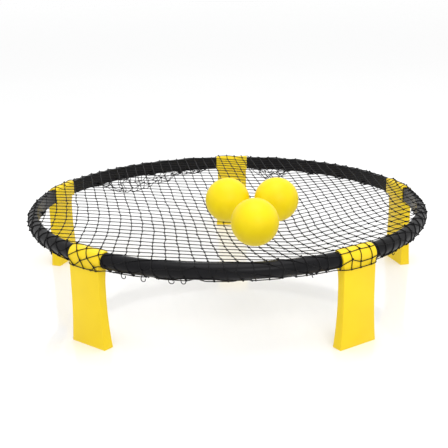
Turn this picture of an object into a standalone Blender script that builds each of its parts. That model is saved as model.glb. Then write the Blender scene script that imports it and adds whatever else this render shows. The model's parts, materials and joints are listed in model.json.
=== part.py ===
# Roundnet set: a net stretched in a round rim of five tubes on five folding legs, with three balls.
# Metres, +Z up. The origin is on the floor under the middle of the set; leg 1 stands on +Y.

import math

import bmesh
import bpy
from mathutils import Euler, Matrix, Vector

# Rim
CORNERS = 5
CORNER_STEP = math.tau / CORNERS
RIM_RADIUS = 0.4395          # centreline of the rim tubes
RIM_HEIGHT = 0.1830          # centreline above the floor
TUBE_RADIUS = 0.0165
TUBE_FLAT = 0.0042           # from the centreline to the flat that faces the middle of the set
TUBE_BORE = 0.0135
TUBE_WALL = TUBE_RADIUS - TUBE_BORE
TUBE_BORE_START = 0.0620     # along the rim from a corner's middle to the hollow of the tube
TUBE_STEPS = 16
CORE_SIDES = 180
TUBE_OVERRUN = 0.9           # share of a collar's half length that a tube is made too long by
GAP = 0.0004                 # between faces that meet

# Legs: collar and panel are one moulding that turns on the spindle
PIVOT_RADIUS = RIM_RADIUS - 0.0011
COLLAR_RADIUS = 0.0190
COLLAR_HALF = 0.0425
COLLAR_EDGE = 0.0015
COLLAR_FLAT = 0.0070         # from the pivot axis to the collar's flat inner side
COLLAR_BORE = 0.0038
COLLAR_SIDES = 32
PANEL_HALF = 0.0400
PANEL_OUTER = 0.0188         # outward from the pivot axis
PANEL_INNER = 0.0010
PANEL_TOP = -0.0010
PANEL_WALL = 0.0034
PANEL_ROOF = 0.0300          # solid stretch between the pivot axis and the panel's hollow
FLARE_START = 0.1150         # height where the panel starts to widen
FOOT_SPREAD = 0.0057
FOOT_OUT = 0.0008
FOOT_IN = 0.0045
PANEL_EDGE = 0.0014
HEEL_IN = 0.0080             # the panel thickens inwards towards the collar
HEEL_DROP = 0.0500           # below the pivot axis, where the thickening ends
PANEL_ROWS = 12

# Spindle through each collar, with the lug that stops the leg
SPINDLE_RADIUS = 0.0034
SPINDLE_REACH = 0.0215       # into each tube
SPINDLE_EDGE = 0.0008
SOCKET_SPARE = 0.0030        # room past the spindle's end in its socket
LUG_HALF_LENGTH = 0.0040
LUG_HALF_WIDTH = 0.0013
LUG_TIP = 0.0055
LUG_ANGLE = math.radians(30)
SLOT_TIP = 0.0061
SLOT_STEPS = 10
SLOT_START = 0.8 * SPINDLE_RADIUS    # the slot is cut from inside the bore outwards
BORE_SIDES = 24
SOCKET_SIDES = 20
LEG_TRAVEL = math.radians(87)

# Hooks on the tubes' flats, turned up at their tips; heights and reaches are from the centreline
HOOKS_PER_TUBE = 4
HOOK_MARGIN = math.radians(19)   # round the rim, from a leg's middle to the nearest hook
HOOK_HALF_WIDTH = 0.0035
HOOK_ROOT = -0.0036
HOOK_NECK = -0.0082
HOOK_TIP = -0.0106
HOOK_BOTTOM = -0.0140
HOOK_TOP = -0.0112
HOOK_LIP = -0.0078
HOOK_CHAMFER = 0.0008

# Net, as a slack bed inside the rim that dips under the balls
NET_RADIUS = 0.4238
NET_TOP = 0.1990             # at the rim
NET_THICKNESS = 0.0022
NET_SIDES = 48
NET_RINGS = 7
NET_DIP = 0.0105
DIP_PLACE = (0.055, -0.250)
DIP_SPREAD = 0.240

# Balls
BALL_RADIUS = 0.0478
BALL_WALL = 0.0030
BALL_STEPS = 18
BALL_PLACES = [(0.066, -0.316), (0.007, -0.145), (0.112, -0.145)]
BALL_TILTS = [(130, 15, 35), (115, -20, 200), (140, 25, 290)]
VALVE_RADIUS = 0.0030
VALVE_HEAD = 0.0046
VALVE_LENGTH = 0.0075
VALVE_SEAT = 0.0016          # depth of the seat under the valve's head
VALVE_SUNK = 0.0003
VALVE_EDGE = 0.0004
VALVE_POINT = 0.0010
VALVE_SIDES = 14
BALL_ROWS = 12
BALL_INNER_ROWS = 7

# Cutters reach this far past the faces that they cut
CUT_SPARE = 0.0020
CUT_EDGE = 0.0001            # chamfer at a round cutter's ends

FOOT_REACH = PIVOT_RADIUS + PANEL_OUTER + FOOT_OUT
COLLAR_REACH = PIVOT_RADIUS + COLLAR_RADIUS
RIM_CENTRE_Y = (RIM_RADIUS + TUBE_RADIUS - max(FOOT_REACH, COLLAR_REACH)) / 2

COLOURS = {
    "leg": ((0.90, 0.74, 0.02), 0.38),
    "rim_tube": ((0.018, 0.018, 0.021), 0.42),
    "spindle": ((0.030, 0.030, 0.032), 0.50),
    "net": ((0.012, 0.012, 0.014), 0.80),
    "ball": ((0.96, 0.80, 0.01), 0.45),
    "ball_valve": ((0.80, 0.62, 0.01), 0.60),
}


def clear_scene():
    for obj in list(bpy.data.objects):
        bpy.data.objects.remove(obj, do_unlink=True)


def make_collection(name):
    collection = bpy.data.collections.new(name)
    bpy.context.scene.collection.children.link(collection)
    return collection


def make_material(name, kind):
    colour, roughness = COLOURS[kind]
    material = bpy.data.materials.new(name)
    material.use_nodes = True
    shader = material.node_tree.nodes["Principled BSDF"]
    shader.inputs["Base Color"].default_value = (*colour, 1.0)
    shader.inputs["Roughness"].default_value = roughness
    shader.inputs["Metallic"].default_value = 0.0
    material.diffuse_color = (*colour, 1.0)
    return material


def add_object(name, data, collection):
    obj = bpy.data.objects.new(name, data)
    collection.objects.link(obj)
    return obj


def settle(obj, angle=35):
    # The evaluated shape as a mesh of its own, in the object's own coordinates.
    bpy.context.view_layer.update()
    evaluated = obj.evaluated_get(bpy.context.evaluated_depsgraph_get())
    mesh = bpy.data.meshes.new_from_object(evaluated)
    mesh.transform(obj.matrix_world)
    shape = bmesh.new()
    shape.from_mesh(mesh)
    bmesh.ops.remove_doubles(shape, verts=shape.verts, dist=0.00002)
    shape.to_mesh(mesh)
    shape.free()
    bpy.data.objects.remove(obj, do_unlink=True)
    mesh.shade_smooth()
    mesh.set_sharp_from_angle(angle=math.radians(angle))
    return mesh


def apply_boolean(mesh, cutter_mesh, operation):
    target = add_object("target", mesh, WORKSHOP)
    cutter = add_object("cutter", cutter_mesh, WORKSHOP)
    cutter.hide_render = True
    cutter.display_type = "WIRE"
    modifier = target.modifiers.new("boolean", "BOOLEAN")
    modifier.operation = operation
    modifier.solver = "EXACT"
    modifier.object = cutter
    result = settle(target)
    bpy.data.objects.remove(cutter, do_unlink=True)
    return result


def cut(mesh, cutter_mesh):
    return apply_boolean(mesh, cutter_mesh, "DIFFERENCE")


def join(mesh, other_mesh):
    return apply_boolean(mesh, other_mesh, "UNION")


def moved(mesh, matrix):
    copy = mesh.copy()
    copy.transform(matrix)
    return copy


def tube_mesh(points, radius, resolution):
    curve = bpy.data.curves.new("tube", "CURVE")
    curve.dimensions = "3D"
    curve.bevel_depth = radius
    curve.bevel_resolution = resolution
    curve.use_fill_caps = True
    spline = curve.splines.new("POLY")
    spline.points.add(len(points) - 1)
    for point, place in zip(spline.points, points):
        point.co = (*place, 1.0)
    return settle(add_object("tube", curve, WORKSHOP))


def flat_mesh(outline, half_thickness, turn):
    # A flat outline with thickness; turn takes its x, y and thickness to where they belong.
    curve = bpy.data.curves.new("flat", "CURVE")
    curve.dimensions = "2D"
    curve.fill_mode = "BOTH"
    curve.extrude = half_thickness
    spline = curve.splines.new("POLY")
    spline.points.add(len(outline) - 1)
    for point, place in zip(spline.points, outline):
        point.co = (*place, 0.0, 1.0)
    spline.use_cyclic_u = True
    mesh = settle(add_object("flat", curve, WORKSHOP))
    mesh.transform(turn)
    return mesh


def turned_mesh(profile, steps):
    # The profile runs down its outer side; it turns about Z.
    mesh = bpy.data.meshes.new("turned")
    edges = [(i, i + 1) for i in range(len(profile) - 1)]
    mesh.from_pydata([(radius, 0.0, height) for radius, height in profile], edges, [])
    obj = add_object("turned", mesh, WORKSHOP)
    screw = obj.modifiers.new("turn", "SCREW")
    screw.steps = steps
    screw.render_steps = steps
    screw.use_merge_vertices = True
    screw.merge_threshold = 0.00001
    return settle(obj)


def box_mesh(low, high):
    shape = bmesh.new()
    bmesh.ops.create_cube(shape, size=1.0)
    low, high = Vector(low), Vector(high)
    bmesh.ops.scale(shape, vec=high - low, verts=shape.verts)
    bmesh.ops.translate(shape, vec=(low + high) / 2, verts=shape.verts)
    mesh = bpy.data.meshes.new("box")
    shape.to_mesh(mesh)
    shape.free()
    return mesh


ALONG_X = Matrix.Rotation(math.radians(90), 4, "Y")
UPRIGHT = Matrix(((0, 0, 1, 0), (1, 0, 0, 0), (0, 1, 0, 0), (0, 0, 0, 1)))   # outline x, y to Y, Z


def rod_mesh(radius, half_length, edge, steps):
    profile = [
        (0.0, half_length),
        (radius - edge, half_length),
        (radius, half_length - edge),
        (radius, -half_length + edge),
        (radius - edge, -half_length),
        (0.0, -half_length),
    ]
    mesh = turned_mesh(profile, steps)
    mesh.transform(ALONG_X)
    return mesh


def panel_mesh(inset, top):
    # The flared leg panel about the pivot axis; an inset one is the panel's hollow, open below.
    foot = -RIM_HEIGHT
    bottom = foot if inset == 0 else foot - CUT_SPARE
    mesh = box_mesh(
        (-PANEL_HALF + inset, PANEL_INNER + inset, bottom),
        (PANEL_HALF - inset, PANEL_OUTER - inset, top),
    )
    shape = bmesh.new()
    shape.from_mesh(mesh)
    upright = [e for e in shape.edges if abs(e.verts[0].co.z - e.verts[1].co.z) > PANEL_WALL]
    bmesh.ops.subdivide_edges(shape, edges=upright, cuts=PANEL_ROWS - 1, use_grid_fill=True)
    middle = (PANEL_INNER + PANEL_OUTER) / 2
    for vert in shape.verts:
        height = vert.co.z + RIM_HEIGHT
        flare = max(0.0, (FLARE_START - height) / FLARE_START) ** 2
        heel = max(0.0, 1 + vert.co.z / HEEL_DROP) ** 2
        vert.co.x += math.copysign(FOOT_SPREAD * flare, vert.co.x)
        vert.co.y += FOOT_OUT * flare if vert.co.y > middle else -FOOT_IN * flare - HEEL_IN * heel
    shape.to_mesh(mesh)
    shape.free()
    if inset:
        return mesh
    obj = add_object("panel", mesh, WORKSHOP)
    bevel = obj.modifiers.new("edge", "BEVEL")
    bevel.width = PANEL_EDGE
    bevel.segments = 2
    bevel.angle_limit = math.radians(60)
    return settle(obj)


def slot_mesh():
    # The stretch of the collar's bore that the lug travels in, seen along the pivot axis.
    margin = math.asin(LUG_HALF_WIDTH / SPINDLE_RADIUS) + GAP / SPINDLE_RADIUS
    start = LUG_ANGLE - margin
    end = LUG_ANGLE + LEG_TRAVEL + margin
    angles = [start + (end - start) * i / SLOT_STEPS for i in range(SLOT_STEPS + 1)]
    outline = [(SLOT_TIP * math.cos(a), SLOT_TIP * math.sin(a)) for a in angles]
    outline += [(SLOT_START * math.cos(a), SLOT_START * math.sin(a)) for a in reversed(angles)]
    return flat_mesh(outline, LUG_HALF_LENGTH + GAP, UPRIGHT)


def leg_mesh():
    collar = rod_mesh(COLLAR_RADIUS, COLLAR_HALF, COLLAR_EDGE, COLLAR_SIDES)
    leg = join(collar, panel_mesh(0, PANEL_TOP))
    wide = 2 * COLLAR_HALF
    tall = 2 * COLLAR_RADIUS
    leg = cut(leg, box_mesh((-wide, -tall, -tall), (wide, -COLLAR_FLAT, tall)))
    leg = cut(leg, panel_mesh(PANEL_WALL, -PANEL_ROOF))
    leg = cut(leg, rod_mesh(COLLAR_BORE, COLLAR_HALF + CUT_SPARE, CUT_EDGE, BORE_SIDES))
    return cut(leg, slot_mesh())


def spindle_mesh():
    spindle = rod_mesh(SPINDLE_RADIUS, COLLAR_HALF + SPINDLE_REACH, SPINDLE_EDGE, BORE_SIDES)
    lug = box_mesh(
        (-LUG_HALF_LENGTH, SPINDLE_RADIUS / 2, -LUG_HALF_WIDTH),
        (LUG_HALF_LENGTH, LUG_TIP, LUG_HALF_WIDTH),
    )
    lug.transform(Matrix.Rotation(LUG_ANGLE, 4, "X"))
    return join(spindle, lug)


def rim_point(angle):
    return (RIM_RADIUS * math.cos(angle), RIM_RADIUS * math.sin(angle), 0.0)


def arc_points(start, end, steps):
    return [rim_point(start + (end - start) * i / steps) for i in range(steps + 1)]


def hook_mesh(angle):
    outline = [
        (HOOK_ROOT, HOOK_BOTTOM),
        (HOOK_ROOT, HOOK_TOP),
        (HOOK_NECK, HOOK_TOP),
        (HOOK_NECK, HOOK_LIP),
        (HOOK_TIP + HOOK_CHAMFER, HOOK_LIP),
        (HOOK_TIP, HOOK_LIP - HOOK_CHAMFER),
        (HOOK_TIP, HOOK_BOTTOM + HOOK_CHAMFER),
        (HOOK_TIP + HOOK_CHAMFER, HOOK_BOTTOM),
    ]
    place = Matrix.Rotation(angle - math.pi / 2, 4, "Z") @ Matrix.Translation((0, RIM_RADIUS, 0))
    return flat_mesh(outline, HOOK_HALF_WIDTH, place @ UPRIGHT)


def core_mesh(radius):
    # A disc about the rim's middle that cuts the flat on the inner side of a tube.
    shape = bmesh.new()
    bmesh.ops.create_cone(
        shape, cap_ends=True, segments=CORE_SIDES, radius1=radius, radius2=radius, depth=4 * TUBE_RADIUS,
    )
    mesh = bpy.data.meshes.new("core")
    shape.to_mesh(mesh)
    shape.free()
    return mesh


def rim_tube_mesh():
    # The tube from the corner on +Y to the next one, about the rim's centre.
    first = math.pi / 2
    last = first + CORNER_STEP
    overrun = TUBE_OVERRUN * COLLAR_HALF / RIM_RADIUS
    bore_start = TUBE_BORE_START / RIM_RADIUS
    hollow = tube_mesh(arc_points(first + bore_start, last - bore_start, TUBE_STEPS), TUBE_BORE, 2)
    hollow = cut(hollow, core_mesh(RIM_RADIUS - TUBE_FLAT + TUBE_WALL))
    tube = tube_mesh(arc_points(first + overrun, last - overrun, TUBE_STEPS), TUBE_RADIUS, 6)
    tube = cut(tube, core_mesh(RIM_RADIUS - TUBE_FLAT))
    tube = cut(tube, hollow)
    for number in range(HOOKS_PER_TUBE):
        share = number / (HOOKS_PER_TUBE - 1)
        span = CORNER_STEP - 2 * HOOK_MARGIN
        tube = join(tube, hook_mesh(first + HOOK_MARGIN + span * share))
    face = COLLAR_HALF + GAP
    reach = COLLAR_HALF + SPINDLE_REACH + SOCKET_SPARE
    tall = 2 * TUBE_RADIUS
    for corner in (0, 1):
        to_corner = Matrix.Rotation(corner * CORNER_STEP, 4, "Z") @ Matrix.Translation((0, PIVOT_RADIUS, 0))
        room = box_mesh((-face, -tall, -tall), (face, tall, tall))
        tube = cut(tube, moved(room, to_corner))
        socket = rod_mesh(SPINDLE_RADIUS + GAP, reach, CUT_EDGE, SOCKET_SIDES)
        tube = cut(tube, moved(socket, to_corner))
    return tube


def net_height(x, y):
    # The top of the net at a place measured from the rim's centre.
    slack = 1 - (x * x + y * y) ** 2 / NET_RADIUS**4
    away = (x - DIP_PLACE[0]) ** 2 + (y - DIP_PLACE[1]) ** 2
    return NET_TOP - NET_DIP * slack * math.exp(-away / (2 * DIP_SPREAD**2))


def net_mesh():
    edge = NET_THICKNESS / 4
    radii = [NET_RADIUS * ring / NET_RINGS for ring in range(NET_RINGS)]
    top = [(radius, NET_TOP) for radius in radii]
    bottom = [(radius, NET_TOP - NET_THICKNESS) for radius in reversed(radii)]
    rim = [
        (NET_RADIUS - edge, NET_TOP),
        (NET_RADIUS, NET_TOP - edge),
        (NET_RADIUS, NET_TOP - NET_THICKNESS + edge),
        (NET_RADIUS - edge, NET_TOP - NET_THICKNESS),
    ]
    mesh = turned_mesh(top + rim + bottom, NET_SIDES)
    for vert in mesh.vertices:
        vert.co.z += net_height(vert.co.x, vert.co.y) - NET_TOP
    return mesh


def ball_profile(radius, hole, steps):
    # From the valve hole at the top down to the bottom pole.
    start = math.asin(hole / radius)
    angles = [start + (math.pi - start) * i / steps for i in range(steps)]
    arc = [(radius * math.sin(a), radius * math.cos(a)) for a in angles]
    return arc + [(0.0, -radius)]


def ball_mesh():
    hole = VALVE_RADIUS + GAP
    head_hole = VALVE_HEAD + GAP
    seat = BALL_RADIUS - VALVE_SEAT
    outer = ball_profile(BALL_RADIUS, head_hole, BALL_ROWS)
    inner = ball_profile(BALL_RADIUS - BALL_WALL, hole, BALL_INNER_ROWS)
    return turned_mesh(list(reversed(inner)) + [(hole, seat), (head_hole, seat)] + outer, BALL_STEPS)


def valve_mesh():
    top = BALL_RADIUS - VALVE_SUNK
    seat = BALL_RADIUS - VALVE_SEAT + GAP
    profile = [
        (0.0, top),
        (VALVE_HEAD - VALVE_EDGE, top),
        (VALVE_HEAD, top - VALVE_EDGE),
        (VALVE_HEAD, seat),
        (VALVE_RADIUS, seat),
        (VALVE_RADIUS, top - VALVE_LENGTH + VALVE_POINT),
        (VALVE_RADIUS - VALVE_POINT, top - VALVE_LENGTH),
        (0.0, top - VALVE_LENGTH),
    ]
    return turned_mesh(profile, VALVE_SIDES)


def place_part(name, kind, mesh, location, rotation):
    copy = mesh.copy()
    copy.name = name
    copy.materials.clear()
    copy.materials.append(make_material(name, kind))
    obj = add_object(name, copy, PARTS)
    obj.location = location
    obj.rotation_euler = rotation


def add_corner_parts():
    leg = leg_mesh()
    spindle = spindle_mesh()
    tube = rim_tube_mesh()
    for number in range(CORNERS):
        turn = number * CORNER_STEP
        pivot = Matrix.Rotation(turn, 4, "Z") @ Vector((0, PIVOT_RADIUS, RIM_HEIGHT))
        pivot.y += RIM_CENTRE_Y
        rotation = (0, 0, turn)
        place_part(f"leg_{number + 1}", "leg", leg, pivot, rotation)
        place_part(f"spindle_{number + 1}", "spindle", spindle, pivot, rotation)
        place_part(f"rim_tube_{number + 1}", "rim_tube", tube, (0, RIM_CENTRE_Y, RIM_HEIGHT), rotation)


def add_balls():
    ball = ball_mesh()
    valve = valve_mesh()
    for number, (x, y) in enumerate(BALL_PLACES):
        centre = (x, y + RIM_CENTRE_Y, net_height(x, y) + BALL_RADIUS + GAP)
        tilt = Euler([math.radians(angle) for angle in BALL_TILTS[number]])
        place_part(f"ball_{number + 1}", "ball", ball, centre, tilt)
        place_part(f"ball_valve_{number + 1}", "ball_valve", valve, centre, tilt)


clear_scene()
PARTS = make_collection("roundnet_set")
WORKSHOP = make_collection("cutters")
add_corner_parts()
place_part("net", "net", net_mesh(), (0, RIM_CENTRE_Y, 0), (0, 0, 0))
add_balls()
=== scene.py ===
# Roundnet set: a knotted net laced over a black rim of five tubes, on five yellow folding legs,
# with three yellow balls resting in the net. Lengths are in metres.
import json
import math
import random

import bmesh
import bpy
from mathutils import Matrix, Vector


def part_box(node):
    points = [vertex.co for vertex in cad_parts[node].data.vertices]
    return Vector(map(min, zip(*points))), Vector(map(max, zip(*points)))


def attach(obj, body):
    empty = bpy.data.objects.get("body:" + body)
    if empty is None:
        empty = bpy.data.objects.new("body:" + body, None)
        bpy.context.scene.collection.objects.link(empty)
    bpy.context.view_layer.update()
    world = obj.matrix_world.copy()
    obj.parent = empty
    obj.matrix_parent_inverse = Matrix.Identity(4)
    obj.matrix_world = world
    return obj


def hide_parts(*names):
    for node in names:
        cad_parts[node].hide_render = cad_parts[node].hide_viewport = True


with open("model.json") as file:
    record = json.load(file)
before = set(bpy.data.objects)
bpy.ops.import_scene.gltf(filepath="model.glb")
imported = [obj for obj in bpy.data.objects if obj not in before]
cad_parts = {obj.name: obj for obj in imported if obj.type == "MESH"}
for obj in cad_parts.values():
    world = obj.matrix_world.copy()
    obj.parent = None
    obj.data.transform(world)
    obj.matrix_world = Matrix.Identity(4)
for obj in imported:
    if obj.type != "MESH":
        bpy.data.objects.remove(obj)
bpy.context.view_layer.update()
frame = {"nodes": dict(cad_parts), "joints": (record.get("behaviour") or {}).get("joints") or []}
print("frame loaded:", len(frame["nodes"]), "nodes")

legJoints = sorted((j for j in frame["joints"] if j["type"] == "hinge"), key=lambda j: j["name"])
pivots = [Vector(joint["pos_m"]) for joint in legJoints]
rimMiddle = sum(pivots, Vector()) / len(pivots)          # middle of the rim, at the height of its tubes
pivotRadius = (pivots[0] - rimMiddle).length
corners = len(pivots)
step = math.tau / corners


camera = {
    "place": (0.0679, -1.9254, 0.7389),
    "turn": math.radians(2.246),       # to the left of +Y
    "down": 0.30246,
    "roll": -0.0170,
    "lens": 68.58,
    "sensor": 36.0,
}
studio = {
    "floorSize": 60.0,
    "floorColour": (0.93, 0.93, 0.93, 1.0),
    "floorRoughness": 0.07,
    "worldStrength": 1.0,
    "lamps": [
        {"name": "overhead", "place": (0.2, -0.3, 2.6), "aim": (0.0, 0.0, 0.1), "size": 2.2, "watts": 26.0},
        {"name": "front", "place": (0.9, -2.6, 1.7), "aim": (0.0, 0.0, 0.1), "size": 1.2, "watts": 16.0},
    ],
}


def makeCamera():
    bpy.ops.object.camera_add(location=camera["place"])
    eye = bpy.context.object
    eye.name = "camera"
    turn = Matrix.Rotation(camera["turn"], 4, "Z")
    down = Matrix.Rotation(math.pi / 2 - camera["down"], 4, "X")
    roll = Matrix.Rotation(camera["roll"], 4, "Z")
    eye.matrix_world = Matrix.Translation(camera["place"]) @ turn @ down @ roll
    eye.data.sensor_width = camera["sensor"]
    eye.data.lens = camera["lens"]
    bpy.context.scene.camera = eye


def makeStudio():
    bpy.ops.mesh.primitive_plane_add(size=studio["floorSize"])
    floor = bpy.context.object
    floor.name = "floor"
    paint = newMaterial("floorPaint", studio["floorColour"], studio["floorRoughness"])
    floor.data.materials.append(paint["material"])
    world = bpy.data.worlds.new("softWhite")
    world.use_nodes = True
    background = world.node_tree.nodes["Background"]
    background.inputs["Color"].default_value = (1.0, 1.0, 1.0, 1.0)
    background.inputs["Strength"].default_value = studio["worldStrength"]
    bpy.context.scene.world = world
    for lamp in studio["lamps"]:
        bpy.ops.object.light_add(type="AREA", location=lamp["place"])
        light = bpy.context.object
        light.name = lamp["name"]
        light.data.shape = "DISK"
        light.data.size = lamp["size"]
        light.data.energy = lamp["watts"]
        aim = Vector(lamp["aim"]) - Vector(lamp["place"])
        light.rotation_euler = aim.to_track_quat("-Z", "Y").to_euler()
    bpy.context.scene.view_settings.view_transform = "Standard"


def newMaterial(name, colour, roughness):
    material = bpy.data.materials.new(name)
    material.use_nodes = True
    nodes = material.node_tree.nodes
    shader = nodes["Principled BSDF"]
    shader.inputs["Base Color"].default_value = colour
    shader.inputs["Roughness"].default_value = roughness
    material.diffuse_color = colour
    return {"material": material, "nodes": nodes, "links": material.node_tree.links, "shader": shader}


def addNode(made, kind, **settings):
    node = made["nodes"].new(kind)
    for key, value in settings.items():
        if key in node.inputs:
            node.inputs[key].default_value = value
        else:
            setattr(node, key, value)
    return node


def link(made, source, target):
    made["links"].new(source, target)


def noiseOn(made, coordinates, size, detail=3.0, stretch=(1.0, 1.0, 1.0)):
    mapping = addNode(made, "ShaderNodeMapping")
    mapping.inputs["Scale"].default_value = stretch
    noise = addNode(made, "ShaderNodeTexNoise")
    noise.inputs["Scale"].default_value = 1.0 / size
    noise.inputs["Detail"].default_value = detail
    link(made, coordinates, mapping.inputs["Vector"])
    link(made, mapping.outputs["Vector"], noise.inputs["Vector"])
    return noise.outputs["Fac"]


def rampOn(made, value, stops):
    ramp = addNode(made, "ShaderNodeValToRGB")
    elements = ramp.color_ramp.elements
    while len(elements) < len(stops):
        elements.new(0.5)
    for element, (place, colour) in zip(elements, stops):
        element.position = place
        element.color = colour
    link(made, value, ramp.inputs["Fac"])
    return ramp.outputs["Color"]


def rangeOn(made, value, low, high):
    spread = addNode(made, "ShaderNodeMapRange")
    spread.inputs["To Min"].default_value = low
    spread.inputs["To Max"].default_value = high
    link(made, value, spread.inputs["Value"])
    return spread.outputs["Result"]


def bumpOn(made, value, depth, strength=1.0, under=None):
    bump = addNode(made, "ShaderNodeBump")
    bump.inputs["Distance"].default_value = depth
    bump.inputs["Strength"].default_value = strength
    link(made, value, bump.inputs["Height"])
    if under is not None:
        link(made, under, bump.inputs["Normal"])
    return bump.outputs["Normal"]


def objectCoordinates(made):
    return addNode(made, "ShaderNodeTexCoord").outputs["Object"]


def mouldedPlastic(look):
    made = newMaterial(look["name"], look["colour"], look["roughness"])
    place = objectCoordinates(made)
    cloud = noiseOn(made, place, look["cloudSize"], 2.0)
    tone = rampOn(made, cloud, [(0.30, look["darkColour"]), (0.70, look["colour"])])
    edges = addNode(made, "ShaderNodeNewGeometry").outputs["Pointiness"]
    worn = rampOn(made, edges, [(0.50, (0.0, 0.0, 0.0, 1.0)), (0.60, (1.0, 1.0, 1.0, 1.0))])
    wear = addNode(made, "ShaderNodeMix", data_type="RGBA")
    wearing = addNode(made, "ShaderNodeMath", operation="MULTIPLY")
    wearing.inputs[1].default_value = look["edgeWear"]
    link(made, worn, wearing.inputs[0])
    link(made, wearing.outputs[0], wear.inputs[0])
    link(made, tone, wear.inputs[6])
    wear.inputs[7].default_value = look["wornColour"]
    link(made, wear.outputs[2], made["shader"].inputs["Base Color"])
    smear = noiseOn(made, place, look["smearSize"], 4.0, look["smearStretch"])
    low = look["roughness"] - look["roughnessSpread"]
    high = look["roughness"] + look["roughnessSpread"]
    link(made, rangeOn(made, smear, low, high), made["shader"].inputs["Roughness"])
    grain = noiseOn(made, place, look["grainSize"], 2.0)
    scuff = noiseOn(made, place, look["scuffSize"], 3.0, look["scuffStretch"])
    softened = bumpOn(made, scuff, look["scuffDepth"])
    normal = bumpOn(made, grain, look["grainDepth"], 1.0, softened)
    link(made, normal, made["shader"].inputs["Normal"])
    made["shader"].inputs["Specular IOR Level"].default_value = look["specular"]
    return made["material"]


legPlastic = {
    "name": "yellowPlastic",
    "colour": (0.90, 0.64, 0.004, 1.0),
    "darkColour": (0.84, 0.58, 0.003, 1.0),
    "wornColour": (0.95, 0.75, 0.06, 1.0),
    "roughness": 0.42,
    "roughnessSpread": 0.08,
    "specular": 0.25,
    "cloudSize": 0.09,
    "smearSize": 0.03,
    "smearStretch": (1.0, 1.0, 0.35),
    "grainSize": 0.0011,
    "grainDepth": 0.00004,
    "scuffSize": 0.004,
    "scuffStretch": (1.0, 1.0, 0.25),
    "scuffDepth": 0.00003,
    "edgeWear": 0.45,
}
rimPlastic = {
    "name": "blackPlastic",
    "colour": (0.0075, 0.0072, 0.0085, 1.0),
    "darkColour": (0.0045, 0.0043, 0.0050, 1.0),
    "wornColour": (0.022, 0.022, 0.025, 1.0),
    "roughness": 0.30,
    "roughnessSpread": 0.08,
    "specular": 0.12,
    "cloudSize": 0.05,
    "smearSize": 0.012,
    "smearStretch": (1.0, 1.0, 1.0),
    "grainSize": 0.0012,
    "grainDepth": 0.00005,
    "scuffSize": 0.006,
    "scuffStretch": (1.0, 1.0, 0.3),
    "scuffDepth": 0.00005,
    "edgeWear": 0.35,
}
innerPlastic = dict(rimPlastic, name="spindlePlastic", colour=(0.032, 0.032, 0.034, 1.0), roughness=0.5)
ballRubber = {
    "name": "yellowRubber",
    "colour": (0.88, 0.68, 0.0025, 1.0),
    "darkColour": (0.84, 0.63, 0.0020, 1.0),
    "wornColour": (0.92, 0.74, 0.010, 1.0),
    "roughness": 0.42,
    "roughnessSpread": 0.07,
    "specular": 0.22,
    "cloudSize": 0.035,
    "smearSize": 0.012,
    "smearStretch": (1.0, 1.0, 1.0),
    "grainSize": 0.0007,
    "grainDepth": 0.00006,
    "scuffSize": 0.010,
    "scuffStretch": (1.0, 1.0, 1.0),
    "scuffDepth": 0.00010,
    "edgeWear": 0.2,
}
valveRubber = dict(ballRubber, name="valveRubber", colour=(0.80, 0.58, 0.01, 1.0), roughness=0.6)
cordFibre = {
    "name": "blackCord",
    "colour": (0.010, 0.0095, 0.010, 1.0),
    # darkColour here is painted shade: the colour of the grooves between the twisted strands
    "darkColour": (0.004, 0.004, 0.0045, 1.0),
    "roughness": 0.80,
    "roughnessSpread": 0.1,
    "specular": 0.15,
    "lay": 0.0030,                      # length of one turn of the twist
    "strands": 3,
    "twistDepth": 0.00016,
    "fuzzSize": 0.0004,
    "fuzzDepth": 0.00006,
    "sheen": 0.06,
    "sheenRoughness": 0.5,
}


def twistedCord(look):
    made = newMaterial(look["name"], look["colour"], look["roughness"])
    split = addNode(made, "ShaderNodeSeparateXYZ")
    link(made, addNode(made, "ShaderNodeUVMap", uv_map="cord").outputs["UV"], split.inputs["Vector"])
    along = addNode(made, "ShaderNodeMath", operation="MULTIPLY")
    along.inputs[1].default_value = math.tau / look["lay"]
    around = addNode(made, "ShaderNodeMath", operation="MULTIPLY_ADD")
    around.inputs[1].default_value = math.tau * look["strands"]
    wave = addNode(made, "ShaderNodeMath", operation="SINE")
    link(made, split.outputs["X"], along.inputs[0])
    link(made, split.outputs["Y"], around.inputs[0])
    link(made, along.outputs[0], around.inputs[2])
    link(made, around.outputs[0], wave.inputs[0])
    height = rangeOn(made, wave.outputs[0], 0.0, 1.0)
    height.node.inputs["From Min"].default_value = -1.0
    fuzz = noiseOn(made, objectCoordinates(made), look["fuzzSize"], 2.0)
    # painted shade: the cord is coloured darker where the twist's height is low, in the grooves between its
    # strands
    colour = rampOn(made, height, [(0.0, look["darkColour"]), (0.8, look["colour"])])
    link(made, colour, made["shader"].inputs["Base Color"])
    low = look["roughness"] - look["roughnessSpread"]
    high = look["roughness"] + look["roughnessSpread"]
    link(made, rangeOn(made, fuzz, low, high), made["shader"].inputs["Roughness"])
    twisted = bumpOn(made, height, look["twistDepth"])
    link(made, bumpOn(made, fuzz, look["fuzzDepth"], 1.0, twisted), made["shader"].inputs["Normal"])
    made["shader"].inputs["Specular IOR Level"].default_value = look["specular"]
    made["shader"].inputs["Sheen Weight"].default_value = look["sheen"]
    made["shader"].inputs["Sheen Roughness"].default_value = look["sheenRoughness"]
    return made["material"]


makeCamera()
makeStudio()
materials = {
    "leg": mouldedPlastic(legPlastic),
    "rim": mouldedPlastic(rimPlastic),
    "spindle": mouldedPlastic(innerPlastic),
    "ball": mouldedPlastic(ballRubber),
    "valve": mouldedPlastic(valveRubber),
    "cord": twistedCord(cordFibre),
}
print("camera, floor, light and materials made")


def deselect():
    if bpy.context.mode != "OBJECT":
        bpy.ops.object.mode_set(mode="OBJECT")
    bpy.ops.object.select_all(action="DESELECT")


def selectOnly(piece):
    deselect()
    piece.select_set(True)
    bpy.context.view_layer.objects.active = piece


def edit(piece):
    selectOnly(piece)
    bpy.ops.object.mode_set(mode="EDIT")


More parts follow.
